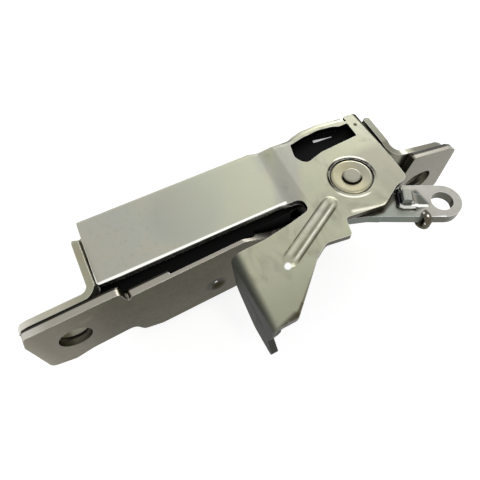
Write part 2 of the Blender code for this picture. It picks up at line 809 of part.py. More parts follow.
def pin(name, axis, r):
    """Shouldered pin from behind the front plate to behind the inner plate."""
    cx, cz = axis
    y0 = PLATE_T + 0.6
    y1 = LAYER_Y - GAP
    y2 = INNER_Y + INNER_T + GAP
    profile = [
        (0, y0), (r + 1.6, y0), (r + 2.0, y0 + 0.4), (r + 2.0, y1), (r, y1), (r, y2), (r + 1.3, y2),
        (r + 1.3, y2 + 0.9), (r + 0.8, y2 + 1.4), (0, y2 + 1.4),
    ]
    mesh = lathe(profile, lambda u, v, h: (cx + u, h, cz - v), 32)
    return finish(name, mesh, (0.55, 0.55, 0.52), 0.95, 0.35, (cx, y0, cz))


def inner_plate():
    """Upright sheet that carries the far ends of both pins, with a foot to the back wall."""
    ring = rounded([
        (47.0, -24.0, 2.0), (91.9, -24.0, 2.0), (91.9, -10.0, 2.0), (80.0, -5.6, 3.0), (50.0, -5.6, 3.0),
        (47.0, -12.0, 2.0),
    ], 4)
    hole_a = arc(CATCH_AXIS[0], CATCH_AXIS[1], PIN_R + 0.15, 0, 360, 32)[:-1]
    hole_b = arc(PAWL_AXIS[0], PAWL_AXIS[1], PIN_R - 0.6 + 0.15, 0, 360, 28)[:-1]
    ring = [(x, z - 3.4 if z < -20 else z) for x, z in ring]
    mesh = slab_xz(ring, [hole_a, hole_b], INNER_Y, INNER_Y + INNER_T)
    obj = finish("inner_plate", mesh, ZINC, 0.9, 0.45, (0, 0, 0))
    back = BACK_RIGHT_Y - 0.1
    foot = slab_xy([(52.0, INNER_Y + 0.5), (90.0, INNER_Y + 0.5), (90.0, back), (52.0, back)], [], -10.0, -8.0)
    cut(obj, cutter(foot), "UNION")
    return obj


def coil(name, axis, r, wire_r, y0, turns, legs):
    """Torsion spring round a pin along Y, with two straight legs."""
    cx, cz = axis
    path = []
    n = int(turns * 24)
    for i in range(n + 1):
        a = 2 * math.pi * turns * i / n + math.radians(legs[0])
        h = y0 + (2 * wire_r + 0.1) * turns * i / n
        path.append((cx + r * math.cos(a), h, cz + r * math.sin(a)))
    a, b = math.radians(legs[0]), 2 * math.pi * turns + math.radians(legs[0])
    first = Vector(path[0]) + Vector((math.sin(a), 0, -math.cos(a))) * legs[1]
    last = Vector(path[-1]) + Vector((-math.sin(b), 0, math.cos(b))) * legs[2]
    mesh = wire([tuple(first)] + path + [tuple(last)], wire_r, 8)
    return finish(name, mesh, (0.5, 0.5, 0.5), 0.95, 0.3, (cx, y0, cz))


def stop_buffer():
    """Rubber block that the open catch comes to rest beside."""
    ring = rounded([(49.0, -26.0, 1.0), (54.0, -26.0, 1.0), (54.0, -20.6, 1.0), (49.0, -20.6, 1.0)], 3)
    mesh = slab_xz(ring, [], PLATE_T + GAP, INNER_Y - GAP)
    return finish("stop_buffer", mesh, BLACK, 0.0, 0.8, (0, 0, 0))


def lever_washer():
    """Washer between the coil of the lever spring and the rivet's lower head."""
    x, y = PIVOT
    z = LEVER_TOP - LEVER_T - SPRING_ROOM + GAP
    ring = arc(x, y, COIL_R + 0.6, 0, 360, 36)[:-1]
    hole = arc(x, y, SHANK_R + GAP, 0, 360, 36)[:-1]
    return finish("spring_washer", slab_xy(ring, [hole], z, z + 0.4), (0.55, 0.55, 0.52), 0.95, 0.35, (x, y, 0))


def flange_rivets():
    """Two rivets through the cover's back flange and the bracket's back wall."""
    for i, x in enumerate((14.0, 48.0)):
        back = BACK_LEFT_Y + (BACK_RIGHT_Y - BACK_LEFT_Y) * x / RIGHT_WALL_X
        outer = piecewise(x, FLANGE_Y)
        y0, y1, y2, y3 = back - 1.2, back - 0.25, outer + 0.25, outer + 1.2
        profile = [(0, y0), (2.6, y0), (3.0, y1), (1.7, y1), (1.7, y2), (3.0, y2), (2.5, y3), (0, y3)]
        mesh = lathe(profile, lambda u, v, h, x=x: (x + u, h, -6.4 - v), 24)
        name = "flange_rivet_left" if i == 0 else "flange_rivet_right"
        finish(name, mesh, (0.55, 0.55, 0.52), 0.95, 0.35, (x, y0, -6.4))
        for target in ("cover_plate", "rear_bracket"):
            drill = [(0, back - 4), (1.95, back - 4), (1.95, outer + 4), (0, outer + 4)]
            hole = lathe(drill, lambda u, v, h, x=x: (x + u, h, -6.4 - v), 24)
            cut(bpy.data.objects[target], cutter(hole))


def centre_all():
    """Moves the whole lock so that the middle of its bounding box is the origin."""
    low = Vector((1e9, 1e9, 1e9))
    high = -low
    bpy.context.view_layer.update()
    for obj in MADE:
        for v in obj.data.vertices:
            p = obj.matrix_world @ v.co
            low = Vector(map(min, low, p))
            high = Vector(map(max, high, p))
    for obj in MADE:
        obj.location -= (low + high) / 2


def main():
    for obj in list(bpy.data.objects):
        bpy.data.objects.remove(obj, do_unlink=True)
    front_plate()
    rear_bracket()
    cover_plate()
    pivot_rivet()
    release_lever()
    lever_spring()
    spring_clip()
    inner_cover()
    catch()
    pawl()
    pin("catch_pin", CATCH_AXIS, PIN_R)
    pin("pawl_pin", PAWL_AXIS, PIN_R - 0.6)
    inner_plate()
    coil("catch_spring", CATCH_AXIS, 4.4, 0.45, 11.15, 1.2, (200, 5.0, 4.0))
    coil("pawl_spring", PAWL_AXIS, 3.5, 0.45, 11.15, 1.2, (60, 4.0, 4.0))
    stop_buffer()
    lever_washer()
    flange_rivets()
    centre_all()


main()
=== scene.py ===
"""Side door lock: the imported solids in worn, plated metal, with a camera, a floor and studio light."""
import json
import math

import bpy
from mathutils import Matrix, Vector


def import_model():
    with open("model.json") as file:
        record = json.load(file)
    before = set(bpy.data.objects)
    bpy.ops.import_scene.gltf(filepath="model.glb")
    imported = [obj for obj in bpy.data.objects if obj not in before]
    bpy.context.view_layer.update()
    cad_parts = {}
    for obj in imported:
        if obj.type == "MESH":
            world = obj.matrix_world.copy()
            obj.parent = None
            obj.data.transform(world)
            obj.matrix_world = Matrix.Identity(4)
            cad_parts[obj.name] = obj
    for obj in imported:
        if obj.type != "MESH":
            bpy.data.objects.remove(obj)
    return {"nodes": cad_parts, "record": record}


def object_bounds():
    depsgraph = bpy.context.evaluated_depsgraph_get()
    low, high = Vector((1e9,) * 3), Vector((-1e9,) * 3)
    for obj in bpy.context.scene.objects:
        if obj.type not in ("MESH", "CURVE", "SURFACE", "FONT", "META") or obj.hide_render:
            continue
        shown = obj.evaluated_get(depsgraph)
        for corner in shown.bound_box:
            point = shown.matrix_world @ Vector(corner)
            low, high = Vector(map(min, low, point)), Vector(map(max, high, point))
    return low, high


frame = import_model()
RECORD = frame["record"]
NODES = frame["nodes"]
CAD_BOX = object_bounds()

# The drawing frame of part.py, in mm: X along the front plate, Y back from its face, Z up from the cover.
MM = 0.001
LEFT_SEAT = Vector((-18.2, 0.0, -8.0))
SEAT = next(mount for mount in RECORD["mounts"] if mount["name"] == "front_seat_left")
ORIGIN = Vector(SEAT["pos_m"]) / MM - LEFT_SEAT


def at(x, y, z):
    """A point of the drawing, in metres."""
    return (Vector((x, y, z)) + ORIGIN) * MM


def opening_middle(name):
    """The middle of one of the record's openings, on the drawing."""
    box = next(o for o in RECORD["physics"]["openings"] if o["name"] == name)["box_m"]
    return (Vector(box[0]) + Vector(box[1])) / 2 / MM - ORIGIN


# Materials

SAMPLES = 6

# Scales that flatten a distance onto the drawing's plan, its front view or its end view.
SOLID = (1, 1, 1)
PLAN = (1, 1, 0)
FRONT_VIEW = (1, 0, 1)
END_VIEW = (0, 1, 1)


class Surface:
    """Builds one material's nodes, with every length in mm of the drawing."""

    def __init__(self, name, metallic):
        self.mat = bpy.data.materials.new(name)
        self.mat.use_nodes = True
        self.tree = self.mat.node_tree
        self.shader = self.tree.nodes["Principled BSDF"]
        self.shader.inputs["Metallic"].default_value = metallic
        coords = self.tree.nodes.new("ShaderNodeTexCoord")
        place = self.tree.nodes.new("ShaderNodeMapping")
        place.inputs["Scale"].default_value = [1 / MM] * 3
        place.inputs["Location"].default_value = -ORIGIN
        self.link(coords.outputs["Object"], place.inputs["Vector"])
        self.mm = place.outputs["Vector"]

    def link(self, a, b):
        self.tree.links.new(a, b)

    def put(self, socket, value):
        """Links a socket or sets a constant, with alpha 1 where a colour needs it."""
        if isinstance(value, bpy.types.NodeSocket):
            self.link(value, socket)
        elif isinstance(value, (tuple, list, Vector)):
            value = tuple(value)
            full = len(socket.default_value)
            socket.default_value = value + (1.0,) * (full - len(value))
        else:
            socket.default_value = value

    def math(self, operation, a, b=0.0, clamp=False):
        node = self.tree.nodes.new("ShaderNodeMath")
        node.operation = operation
        node.use_clamp = clamp
        self.put(node.inputs[0], a)
        self.put(node.inputs[1], b)
        return node.outputs[0]

    def times(self, first, *others):
        for other in others:
            first = self.math("MULTIPLY", first, other)
        return first

    def plus(self, a, b):
        return self.math("ADD", a, b)

    def minus(self, a, b):
        return self.math("SUBTRACT", a, b)

    def highest(self, first, *others):
        for other in others:
            first = self.math("MAXIMUM", first, other)
        return first

    def vector(self, operation, a, b):
        node = self.tree.nodes.new("ShaderNodeVectorMath")
        node.operation = operation
        self.put(node.inputs[0], a)
        self.put(node.inputs[1], b)
        return node.outputs["Value" if operation in ("DISTANCE", "DOT_PRODUCT") else "Vector"]

    def noise(self, size, stretch=(1, 1, 1), turn=(0, 0, 0), detail=3.0, rough=0.55, warp=0.0):
        """Noise with features about size mm across, stretched along its turned axes."""
        mapping = self.tree.nodes.new("ShaderNodeMapping")
        mapping.inputs["Scale"].default_value = [1 / (size * s) for s in stretch]
        mapping.inputs["Rotation"].default_value = [math.radians(t) for t in turn]
        self.link(self.mm, mapping.inputs["Vector"])
        node = self.tree.nodes.new("ShaderNodeTexNoise")
        node.inputs["Scale"].default_value = 1.0
        node.inputs["Detail"].default_value = detail
        node.inputs["Roughness"].default_value = rough
        node.inputs["Distortion"].default_value = warp
        self.link(mapping.outputs["Vector"], node.inputs["Vector"])
        return node.outputs["Fac"]

    def ramp(self, value, low, high):
        """0 at low and 1 at high, smooth between and clamped beyond."""
        node = self.tree.nodes.new("ShaderNodeMapRange")
        node.interpolation_type = "SMOOTHSTEP"
        self.put(node.inputs["Value"], value)
        node.inputs["From Min"].default_value = low
        node.inputs["From Max"].default_value = high
        return node.outputs["Result"]

    def fade(self, value, low, high):
        """1 at low and 0 at high."""
        return self.minus(1.0, self.ramp(value, low, high))

    def patches(self, size, low, high):
        """Soft patches about size mm across: 0 where noise is under low, 1 where it is over high."""
        return self.ramp(self.noise(size), low, high)

    def mix(self, factor, a, b):
        node = self.tree.nodes.new("ShaderNodeMix")
        node.data_type = "RGBA"
        node.clamp_factor = True
        self.put(node.inputs[0], factor)
        self.put(node.inputs[6], a)
        self.put(node.inputs[7], b)
        return node.outputs[2]

    def paint(self, base, marks):
        """Lays (mask function, colour, strength) marks over a base colour, the last one on top."""
        for mask, colour, strength in marks:
            base = self.mix(self.times(mask(self), strength), base, colour)
        return base

    def axis(self, letter):
        """One coordinate on the drawing: X, Y or Z."""
        node = self.tree.nodes.new("ShaderNodeSeparateXYZ")
        self.link(self.mm, node.inputs[0])
        return node.outputs[letter]

    def distance(self, a, b=None, flat=SOLID):
        """Distance in mm from a point, or from a segment a to b, with each axis scaled by flat."""
        here = self.vector("MULTIPLY", self.mm, flat)
        a = Vector(a) * Vector(flat)
        if b is None:
            return self.vector("DISTANCE", here, a)
        b = Vector(b) * Vector(flat)
        offset = self.vector("SUBTRACT", here, a)
        along = self.vector("DOT_PRODUCT", offset, (b - a) / (b - a).length_squared)
        along = self.math("ADD", along, 0.0, clamp=True)
        node = self.tree.nodes.new("ShaderNodeVectorMath")
        node.operation = "SCALE"
        node.inputs[0].default_value = b - a
        self.link(along, node.inputs["Scale"])
        return self.vector("DISTANCE", offset, node.outputs[0])

    def facing_up(self):
        """1 on faces that look straight up, 0 on upright ones and less than 0 on those that look down."""
        geometry = self.tree.nodes.new("ShaderNodeNewGeometry")
        return self.vector("DOT_PRODUCT", geometry.outputs["Normal"], (0, 0, 1))

    def edges(self, radius, low, high):
        """1 on worn edges: where a rounded normal leaves the flat one."""
        bevel = self.tree.nodes.new("ShaderNodeBevel")
        bevel.samples = SAMPLES
        bevel.inputs["Radius"].default_value = radius * MM
        geometry = self.tree.nodes.new("ShaderNodeNewGeometry")
        turn = self.vector("DOT_PRODUCT", bevel.outputs[0], geometry.outputs["Normal"])
        return self.ramp(turn, high, low)

    def crevice(self, reach, low, high):
        """1 in corners that other surfaces close in."""
        node = self.tree.nodes.new("ShaderNodeAmbientOcclusion")
        node.samples = SAMPLES
        node.inputs["Distance"].default_value = reach * MM
        return self.ramp(node.outputs["AO"], high, low)

    def bump(self, pairs):
        """Stacks (height, depth in mm) pairs into the shader's normal."""
        last = None
        for height, depth in pairs:
            node = self.tree.nodes.new("ShaderNodeBump")
            node.inputs["Strength"].default_value = 1.0
            node.inputs["Distance"].default_value = depth * MM
            self.link(height, node.inputs["Height"])
            if last is not None:
                self.link(last, node.inputs["Normal"])
            last = node.outputs["Normal"]
        self.link(last, self.shader.inputs["Normal"])


def rgb(r, g, b):
    """An sRGB colour of 0 to 255 as linear values."""
    out = []
    for c in (r, g, b):
        c /= 255
        out.append(c / 12.92 if c <= 0.04045 else ((c + 0.055) / 1.055) ** 2.4)
    return tuple(out)


def scaled(colour, factor, lift=0.0):
    """A colour made lighter or darker, at most white."""
    return tuple(min(1.0, c * factor + lift) for c in colour)


def scratches(s):
    """Two sets of fine crossing scratches."""
    first = s.noise(0.5, (60, 1, 9), (3, -4, 17), detail=1)
    first = s.times(s.ramp(first, 0.735, 0.78), s.patches(9, 0.45, 0.6))
    second = s.noise(0.45, (45, 1, 7), (-5, 6, -38), detail=1)
    second = s.times(s.ramp(second, 0.74, 0.78), s.patches(11, 0.48, 0.62))
    return s.highest(first, second)


def zinc(name, colour, warm, dark, rough, dull=None, marks=()):
    """Passivated zinc on pressed steel: cloudy colour, fine draw lines, scratches, grime and painted
    shade in the corners.

    marks holds (function, colour, strength): each function gives a mask of 0 to 1 for one place
    on the part. dull is such a function for the place that lost its shine.
    """
    s = Surface(name, 1.0)
    pale = scaled(colour, 1.35, 0.05)
    cloud = s.noise(14, detail=4, rough=0.6, warp=0.6)
    fleck = s.noise(1.6, detail=4, rough=0.7)
    draw_lines = s.noise(0.55, (8, 1, 1), detail=2)
    scratch = scratches(s)
    # Patchy dirt, with painted shade in the corners that other surfaces close in.
    dirt_and_shade = s.times(s.crevice(2.2, 0.25, 0.8), 0.7, s.patches(2.5, 0.2, 0.65))
    wear = s.times(s.edges(0.5, 0.86, 0.99), s.patches(1.2, 0.3, 0.6))

    base = s.mix(s.ramp(cloud, 0.35, 0.68), colour, warm)
    base = s.mix(s.times(s.ramp(fleck, 0.52, 0.78), 0.32), base, dark)
    base = s.mix(s.times(scratch, 0.55), base, pale)
    base = s.mix(dirt_and_shade, base, scaled(dark, 0.35))
    base = s.mix(s.times(wear, 0.6), base, pale)
    s.put(s.shader.inputs["Base Color"], s.paint(base, marks))

    r = s.plus(rough - 0.07, s.times(cloud, 0.1))
    r = s.plus(r, s.times(s.ramp(fleck, 0.4, 0.75), 0.08))
    r = s.plus(r, s.times(dirt_and_shade, 0.25))
    r = s.minus(r, s.times(wear, 0.08))
    if dull:
        rubbed = dull(s)
        r = s.plus(r, s.times(rubbed, 0.3))
        s.put(s.shader.inputs["Metallic"], s.minus(1.0, s.times(rubbed, 0.75)))
    s.put(s.shader.inputs["Roughness"], r)
    s.bump([
        (s.noise(9, detail=2), 0.05),
        (draw_lines, 0.006),
        (s.noise(0.35, detail=2), 0.008),
        (s.minus(1.0, scratch), 0.01),
    ])
    return s.mat


def dull_black(name, colour, rough, marks=()):
    """Black moulding or rubber: dusty, a little scuffed on its edges."""
    s = Surface(name, 0.0)
    cloud = s.noise(6, detail=4, rough=0.65)
    dust = s.times(s.ramp(s.noise(1.3, detail=5, rough=0.7), 0.5, 0.75), 0.35)
    base = s.mix(s.ramp(cloud, 0.3, 0.7), colour, scaled(colour, 1.9))
    base = s.mix(dust, base, scaled(colour, 3.2))
    base = s.mix(s.times(s.edges(0.4, 0.86, 0.99), 0.35), base, scaled(colour, 5, 0.01))
    s.put(s.shader.inputs["Base Color"], s.paint(base, marks))
    s.put(s.shader.inputs["Roughness"], s.plus(rough - 0.08, s.times(cloud, 0.2)))
    s.shader.inputs["Specular IOR Level"].default_value = 0.06
    s.bump([(s.noise(0.6, detail=3), 0.02), (cloud, 0.08)])
    return s.mat


def dress(name, material):
    node = NODES[name]
    node.data.materials.clear()
    node.data.materials.append(material)


# Masks that several pieces share. A mask is a function of a Surface that returns 0 to 1.


def inside(s, soft, x=(None, None), y=(None, None), z=(None, None)):
    """1 inside a box of the drawing whose sides are open or a coordinate, with soft sides."""
    sides = []
    for letter, (low, high) in zip("XYZ", (x, y, z)):
        if low is not None:
            sides.append(s.ramp(s.axis(letter), low - soft, low + soft))
        if high is not None:
            sides.append(s.fade(s.axis(letter), high - soft, high + soft))
    return s.times(*sides)


def band(s, distance, middle, half):
    """1 where a distance is within half of middle."""
    away = s.math("ABSOLUTE", s.minus(distance, middle))
    return s.fade(away, half * 0.4, half)


def steep(s):
    """1 on faces that stand upright or look down."""
    return s.fade(s.facing_up(), 0.05, 0.6)


def top_faces(s):
    return s.ramp(s.facing_up(), 0.5, 0.9)


def thin_edges(s):
    """Bright metal where the plating has rubbed off the edges."""
    return s.times(s.edges(0.35, 0.8, 0.97), s.patches(3.0, 0.2, 0.5))


def pit(place, radius):
    """A mask for a small round spot."""
    return lambda s: s.fade(s.distance(place), radius * 0.5, radius)


def stroke(a, b, low, high):
    """A mask for a thin straight line from a to b on the plan, solid to low mm away and gone at high."""
    a, b = (*a, 0.0), (*b, 0.0)
    return lambda s: s.times(s.fade(s.distance(a, b, PLAN), low, high), top_faces(s))


def right_of(low, high):
    """A mask that grows from 0 at X low to 1 at X high."""
    return lambda s: s.ramp(s.axis("X"), low, high)


def left_of(low, high):
    """A mask that fades from 1 at X low to 0 at X high."""
    return lambda s: s.fade(s.axis("X"), low, high)


def on_top(mask):
    """A mask kept to the faces that look up."""
    return lambda s: s.times(top_faces(s), mask(s))


BOLT_R = 4.5
LEFT_BOLT = opening_middle("left_bolt_hole")


def hole_wall(s):
    """The shaded wall of the left bolt hole."""
    return s.fade(s.distance(LEFT_BOLT, flat=FRONT_VIEW), BOLT_R + 0.05, BOLT_R + 0.2)


# Cover

STEEL = rgb(166, 167, 157)
WARM = rgb(170, 166, 152)
DARK = rgb(112, 108, 90)

PIVOT = Vector((77.2, 2.2, 0.0))
GROOVE_R = 6.75
RAISED_Z = 2.0
JOGGLE_X = 57.0
RIB_START = Vector((66.4, -2.7, RAISED_Z))
RIB_END = Vector((47.6, -12.6, RAISED_Z))
TO_VIEWER = Vector((-0.49, -0.87, 0.0))

# A darker patch in the middle of the flat face, the painted glint at the rib's end and a punched spot
# near the window.
FACE_MIDDLE = (30.0, 16.0, 0.0)
RIB_GLINT = (46.0, -13.9, 2.3)
PUNCH = (89.9, 18.4, RAISED_Z)

# The dark line along the arm's near edge runs through these places of the plan.
ARM_TOE, ARM_CORNER, ARM_NOTCH = (40.9, -26.6), (43.9, -24.4), (54.3, -15.9)

# The painted highlight along the cover's near edge, in front of the pivot.
LIP_LEFT, LIP_CORNER, LIP_RIGHT = (70.5, -8.0), (78.6, -10.45), (82.6, -9.8)


def from_pivot(s):
    """Distance in mm from the pivot's axis."""
    return s.distance(PIVOT, flat=PLAN)


def towards_viewer(s):
    """Distance in mm from the pivot along the floor towards the camera."""
    return s.vector("DOT_PRODUCT", s.vector("SUBTRACT", s.mm, PIVOT), TO_VIEWER)


def lit_face(s):
    """1 on the flat face left of the joggle, rising to the right: a painted pool of light, where the
    plating is also greenest.
    """
    flat = inside(s, 2.5, x=(None, JOGGLE_X), y=(-0.5, None), z=(None, 0.4))
    return s.times(flat, s.ramp(s.axis("X"), 8, 50))


def raised_face(s):
    """1 on the raised face, the rib and the arm."""
    return inside(s, 0.5, z=(0.5, None))


def olive_tone(s):
    """The raised face and the arm are a little greener than the flat face's left end."""
    return s.times(raised_face(s), s.patches(12, 0.1, 0.5))


def shadow_by_joggle(s):
    """The grey reflection between the joggle and the window."""
    d = s.distance((57.5, 4.5, RAISED_Z), (66.0, 20.5, RAISED_Z), PLAN)
    return s.times(s.fade(d, 1.6, 5.5), s.patches(7, 0.1, 0.4))


def mottle(s):
    """Worn grey patches on the raised face and the arm."""
    worn = s.noise(6, (1, 1.6, 1), (0, 0, 30), detail=5, rough=0.62, warp=0.7)
    return s.times(s.ramp(worn, 0.48, 0.72), raised_face(s))


def raised_wear(s):
    """The dull, rubbed ground between the rib and the pivot, and right of the pivot."""
    low = s.fade(s.distance((69.0, -2.5, RAISED_Z), (74.0, -7.5, RAISED_Z)), 1.5, 6.5)
    right = inside(s, 2.0, x=(82.0, None), y=(None, 9.0), z=(1.0, None))
    return s.highest(s.times(low, 0.35), right)


def arm_low(s):
    """The arm darkens towards its low end."""
    return s.fade(s.axis("Y"), -26.0, -10.0)


def groove_shade(s):
    """Painted shade in the groove round the pivot, patchy and heaviest behind it."""
    ring = s.times(band(s, from_pivot(s), GROOVE_R, 0.6), s.patches(2.4, 0.2, 0.55))
    return s.times(ring, s.ramp(s.axis("Y"), PIVOT.y - 6, PIVOT.y + 1))


def rivet_rim_highlight(s):
    """Painted highlight on the lip of the groove, beyond and this side of the rivet."""
    away = s.math("ABSOLUTE", towards_viewer(s))
    return s.times(band(s, from_pivot(s), GROOVE_R + 0.6, 0.4), s.ramp(away, 5.2, 6.6))


def rib_side(s):
    """Distance in mm to the near side of the rib's middle line, and 1 along its length."""
    way, length = (RIB_END - RIB_START).normalized(), (RIB_END - RIB_START).length
    from_start = s.vector("SUBTRACT", s.mm, RIB_START)
    side = s.vector("DOT_PRODUCT", from_start, (-way.y, way.x, 0))
    along = s.vector("DOT_PRODUCT", from_start, way)
    ends = s.times(s.ramp(along, -0.6, 1.4), s.fade(along, length - 1.75, length + 0.75))
    return side, s.times(ends, inside(s, 0.2, z=(RAISED_Z - 0.3, None)))


def rib_shade(s):
    """Painted shade along both sides of the rib and a painted dark line down its middle."""
    side, ends = rib_side(s)
    dirt_and_shade = s.highest(band(s, side, -2.1, 0.3), band(s, side, 2.0, 0.35))
    middle = s.times(band(s, side, 0.35, 0.5), 0.6)
    return s.times(s.highest(dirt_and_shade, middle), ends, s.patches(2.6, 0.1, 0.45))


def rib_highlight(s):
    """Painted highlights along the rib's two slopes."""
    side, ends = rib_side(s)
    lines = s.highest(band(s, side, 1.15, 0.35), s.times(band(s, side, -1.0, 0.7), 0.3))
    return s.times(lines, ends, s.patches(3.2, 0.2, 0.5))


# Painted shade on the walls of the window under the raised face.
def window_wall_shade(s):
    return inside(s, 0.08, x=(66.0, 89.0), y=(12.2, 23.4), z=(None, RAISED_Z - 0.28))


def wall_faces_shade(s):
    """Sheared sides of the sheet round the arm, the slot and the pivot, painted dark as shade where they
    stand out of the light.
    """
    return s.times(steep(s), inside(s, 0.3, x=(35.0, 93.0), y=(None, 11.5), z=(-0.6, None)))


def slot_end_shade(s):
    """Painted shade, black, on the upright faces at the slot's closed end."""
    return s.times(inside(s, 0.3, x=(45.0, 62.0), y=(-2.6, 4.0), z=(None, 1.5)), steep(s))


def near_edge_highlight(s):
    """Painted highlights along the flat face's near and left edges."""
    near = s.fade(s.distance((0.6, 6.55, 0), (56.5, 4.7, 0), PLAN), 0.3, 0.7)
    left = s.times(band(s, s.axis("X"), 0.3, 0.5), s.patches(5, 0.3, 0.6))
    return s.times(s.highest(near, left), inside(s, 0.2, x=(None, JOGGLE_X), z=(-0.45, None)))


def arm_fold_shade(s):
    """The folded flange, and the roll of its bend, painted dark as shade where it turns out of the light.
    """
    leaning_x = s.plus(s.axis("X"), s.times(s.axis("Y"), -0.085))
    side = s.highest(s.fade(leaning_x, 35.7, 38.3), s.fade(s.axis("Z"), -0.6, 0.2))
    return s.times(side, inside(s, 0.5, x=(None, 39.5), y=(None, -2.9)))


def flange_low(s):
    """The flange darkens towards its low end."""
    return s.times(arm_fold_shade(s), arm_low(s))


def flange_shade_line(s):
    """Painted dark line of shade across the flange."""
    run = s.fade(s.distance((0, -14.5, -6.0), (0, -25.5, -9.5), END_VIEW), 0.5, 2.4)
    return s.times(run, arm_fold_shade(s), s.patches(3.0, 0.1, 0.4))


def arm_low_edge(s):
    """Dark band along the arm's low end."""
    d = s.distance((36.0, -28.0, 0), (41.0, -26.6, 0), PLAN)
    return s.times(s.fade(d, 0.6, 1.9), s.patches(1.8, 0.1, 0.45))


def right_edge_shade(s):
    """Painted shade in the crack between the cover and the bracket's right wall."""
    return inside(s, 0.2, x=(91.65, None), y=(2.5, None))


COVER_MARKS = [
    (pit(FACE_MIDDLE, 14), rgb(150, 152, 146), 0.6),
    (lit_face, rgb(192, 196, 170), 0.75),
    (olive_tone, rgb(166, 167, 143), 0.8),
    (shadow_by_joggle, rgb(157, 156, 150), 0.7),
    (mottle, rgb(116, 113, 104), 0.42),
    (raised_wear, rgb(142, 138, 126), 0.75),
    (arm_low, rgb(140, 142, 124), 0.7),
    (groove_shade, rgb(22, 18, 12), 1.0),
    (rivet_rim_highlight, rgb(246, 245, 232), 0.8),
    (rib_shade, rgb(72, 68, 54), 0.85),
    (rib_highlight, rgb(226, 225, 212), 0.8),
    (window_wall_shade, rgb(16, 15, 13), 0.97),
    (wall_faces_shade, rgb(46, 41, 30), 0.88),
    (slot_end_shade, rgb(14, 13, 11), 0.95),
    (thin_edges, rgb(240, 240, 230), 0.7),
    (near_edge_highlight, rgb(252, 252, 246), 0.95),
    (pit(RIB_GLINT, 1.2), rgb(255, 255, 255), 1.0),
    (arm_fold_shade, rgb(58, 61, 53), 0.97),
    (flange_low, rgb(34, 34, 30), 0.6),
    (flange_shade_line, rgb(26, 26, 22), 0.9),
    (arm_low_edge, rgb(52, 48, 38), 0.85),
    (right_edge_shade, rgb(18, 16, 12), 0.95),
    # Painted highlights along the cover's near edge in front of the pivot.
    (stroke(LIP_LEFT, LIP_CORNER, 0.0, 0.85), rgb(244, 240, 222), 0.75),
    (stroke(LIP_CORNER, LIP_RIGHT, 0.0, 0.75), rgb(244, 240, 222), 0.7),
    (stroke(ARM_TOE, ARM_CORNER, 0.2, 0.7), rgb(70, 64, 48), 0.8),
    (stroke(ARM_CORNER, ARM_NOTCH, 0.15, 0.6), rgb(84, 78, 60), 0.7),
    (pit(PUNCH, 0.75), rgb(30, 26, 18), 0.9),
]
dress("cover_plate", zinc("cover_zinc", STEEL, WARM, DARK, 0.36, dull=arm_fold_shade, marks=COVER_MARKS))

# Rear bracket

OLIVE = (rgb(152, 153, 135), rgb(150, 144, 122), DARK)
# A painted highlight on the bend at the top of the bracket's right ear.
BEND_HIGHLIGHT = (98.0, 3.7, -1.0)


def wall_crack_shade(s):
    """Painted shade on the right wall beside the cover's edge."""
    return inside(s, 0.15, x=(91.5, 92.6), y=(4.0, 21.0))


def crack_rear_shade(s):
    """Painted shade on the front edge of the bracket's ears, beside the crack between the two layers."""
    ends = s.highest(s.ramp(s.axis("X"), 96.0, 97.5), s.fade(s.axis("X"), -3.0, -1.0))
    return s.times(ends, s.fade(s.axis("Y"), 2.75, 3.05))


BRACKET_MARKS = [
    (left_of(-12.0, -2.0), rgb(186, 184, 170), 0.7),
    (right_of(90.0, 92.0), rgb(122, 122, 110), 0.85),
    (right_of(100.0, 103.0), rgb(74, 71, 58), 0.9),
    (thin_edges, rgb(238, 238, 230), 0.8),
    # A painted highlight on the left end of the bracket's ear.
    (left_of(-20.5, -14.5), rgb(224, 222, 212), 0.7),
    (hole_wall, rgb(122, 119, 106), 0.8),
    (wall_crack_shade, rgb(20, 17, 12), 0.95),
    (pit(BEND_HIGHLIGHT, 1.8), rgb(225, 225, 210), 0.5),
    (crack_rear_shade, rgb(36, 32, 22), 0.8),
]
dress("rear_bracket", zinc("bracket_zinc", *OLIVE, 0.38, marks=BRACKET_MARKS))

# Front plate

# The front plate's zinc, painted darker than the cover's as shade on the side away from the light.
SHADED_BROWN = (rgb(73, 69, 52), rgb(70, 64, 50), rgb(42, 39, 30))
DIMPLE = Vector((30.2, 0.0, -18.6))
DIMPLE_GLINT = DIMPLE + Vector((0.4, 0.6, -0.3))


def dimple(s):
    """Painted shade in the dimple, in patches."""
    return s.times(s.fade(s.distance(DIMPLE, flat=FRONT_VIEW), 2.4, 4.0), s.patches(3.0, 0.15, 0.45))


def top_strip_light(s):
    """The upper edge of the front plate, painted lighter where it faces up into the light."""
    return s.times(top_faces(s), inside(s, 0.5, z=(-12.0, None)))


def left_edges(s):
    """Rubbed edges, which the right ear lacks."""
    return s.times(thin_edges(s), s.fade(s.axis("X"), 88.0, 93.0))


def crack_front_shade(s):
    """Painted shade on the rear of the front plate's upper edge, beside the crack, and wider on the right
    ear.
    """
    y = s.plus(s.axis("Y"), s.times(s.ramp(s.axis("X"), 92.0, 95.0), 0.6))
    return s.times(top_faces(s), s.ramp(y, 1.75, 2.1))


